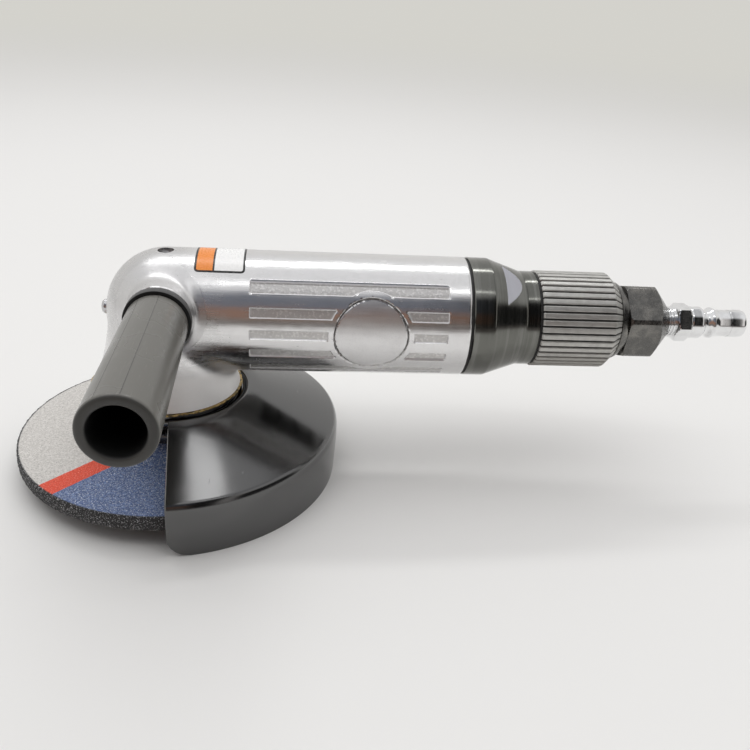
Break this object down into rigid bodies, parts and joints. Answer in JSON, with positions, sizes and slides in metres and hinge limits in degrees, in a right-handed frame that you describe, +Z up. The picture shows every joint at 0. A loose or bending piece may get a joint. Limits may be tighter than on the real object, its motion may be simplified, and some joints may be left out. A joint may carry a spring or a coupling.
{
  "type": "pneumatic angle grinder",
  "caption": "Air-driven angle grinder with vane motor, bevel gears, half guard, side handle and twist throttle; grinds and cuts metal with a turning wheel.",
  "frame": {"origin": "centre of the spindle's lower end face", "axes": "+Z up along the spindle, +X along the barrel to the air inlet, -Y along the side handle"},
  "size_m": [0.3015, 0.1743, 0.0931],
  "materials": {
    "cast_aluminium": "polished",
    "black_steel": "satin",
    "gunmetal": "polished",
    "grip_metal": "satin",
    "ground_steel": "satin",
    "tool_steel": "satin",
    "plate_alloy": "satin",
    "plating": "polished",
    "gasket_gold": "satin",
    "bronze": "satin",
    "handle_plastic": "satin",
    "seal_rubber": "matte",
    "vane_resin": "matte",
    "guard_paint": "gloss",
    "abrasive": "matte"
  },
  "bodies": {
    "tool": {"motor_housing": "cast_aluminium", "head_gasket": "gasket_gold", "bearing_cap": "tool_steel", "cap_screw_1": "black_steel", "cap_screw_2": "black_steel", "cap_screw_3": "black_steel", "cap_screw_4": "black_steel", "spindle_bearing_outer": "ground_steel", "dust_seal": "seal_rubber", "upper_spindle_bush": "bronze", "grease_plug": "tool_steel", "lock_collar": "ground_steel", "lock_spring": "ground_steel", "front_bearing_outer": "ground_steel", "front_end_plate": "plate_alloy", "cylinder_liner": "tool_steel", "liner_dowel": "ground_steel", "rear_end_plate": "plate_alloy", "rear_bearing_outer": "ground_steel", "cap_ring": "seal_rubber", "rear_cap": "gunmetal", "neck_ring": "seal_rubber", "port_plate": "ground_steel", "inlet_bushing": "black_steel", "hose_nipple": "plating", "handle_washer": "handle_plastic", "handle_stud": "ground_steel", "handle_grip": "handle_plastic", "guard_lock_ring": "tool_steel"},
    "wheel_and_spindle": {"spindle": "tool_steel", "bevel_gear": "tool_steel", "gear_key": "ground_steel", "gear_circlip": "black_steel", "gear_spacer": "tool_steel", "spindle_bearing_inner": "ground_steel", "inner_flange": "black_steel", "grinding_wheel": "abrasive", "lock_nut": "black_steel"},
    "rotor_and_pinion": {"rotor": "tool_steel", "vane_1": "vane_resin", "vane_2": "vane_resin", "vane_3": "vane_resin", "vane_4": "vane_resin", "vane_5": "vane_resin", "bevel_pinion": "tool_steel", "front_bearing_inner": "ground_steel", "rear_bearing_inner": "ground_steel"},
    "spindle_cage": {"spindle_ball_cage": "ground_steel"},
    "front_cage": {"front_ball_cage": "ground_steel"},
    "rear_cage": {"rear_ball_cage": "ground_steel"},
    "throttle": {"throttle_sleeve": "grip_metal", "throttle_pin": "ground_steel", "throttle_spool": "bronze", "spool_seal": "seal_rubber"},
    "lock": {"lock_pin": "ground_steel"},
    "guard": {"guard": "guard_paint"}
  },
  "joints": [
    {"name": "spindle_spin", "type": "hinge", "parent": "tool", "child": "wheel_and_spindle", "pos_m": [0, 0, 0], "axis": [0, 0, 1], "continuous": true},
    {"name": "rotor_spin", "type": "hinge", "parent": "tool", "child": "rotor_and_pinion", "pos_m": [0.068, 0, 0.062], "axis": [1, 0, 0], "continuous": true},
    {"name": "spindle_cage_spin", "type": "hinge", "parent": "tool", "child": "spindle_cage", "pos_m": [0, 0, 0.0267], "axis": [0, 0, 1], "continuous": true},
    {"name": "front_cage_spin", "type": "hinge", "parent": "tool", "child": "front_cage", "pos_m": [0.0308, 0, 0.062], "axis": [1, 0, 0], "continuous": true},
    {"name": "rear_cage_spin", "type": "hinge", "parent": "tool", "child": "rear_cage", "pos_m": [0.0977, 0, 0.062], "axis": [1, 0, 0], "continuous": true},
    {"name": "throttle_twist", "type": "hinge", "parent": "tool", "child": "throttle", "pos_m": [0.163, 0, 0.062], "axis": [1, 0, 0], "range_deg": [0, 60]},
    {"name": "lock_press", "type": "slide", "parent": "tool", "child": "lock", "axis": [1, 0, 0], "range_m": [0, 0.0032], "stiffness_N_per_m": 1500, "springref_m": -0.002, "deforming": ["lock_spring"]},
    {"name": "guard_turn", "type": "hinge", "parent": "tool", "child": "guard", "pos_m": [0, 0, 0.025], "axis": [0, 0, 1], "range_deg": [-90, 90]}
  ],
  "couplings": [
    {"joint": "rotor_spin", "follows": "spindle_spin", "ratio": 2},
    {"joint": "spindle_cage_spin", "follows": "spindle_spin", "ratio": 0.376},
    {"joint": "front_cage_spin", "follows": "spindle_spin", "ratio": 0.7444},
    {"joint": "rear_cage_spin", "follows": "spindle_spin", "ratio": 0.7334}
  ]
}
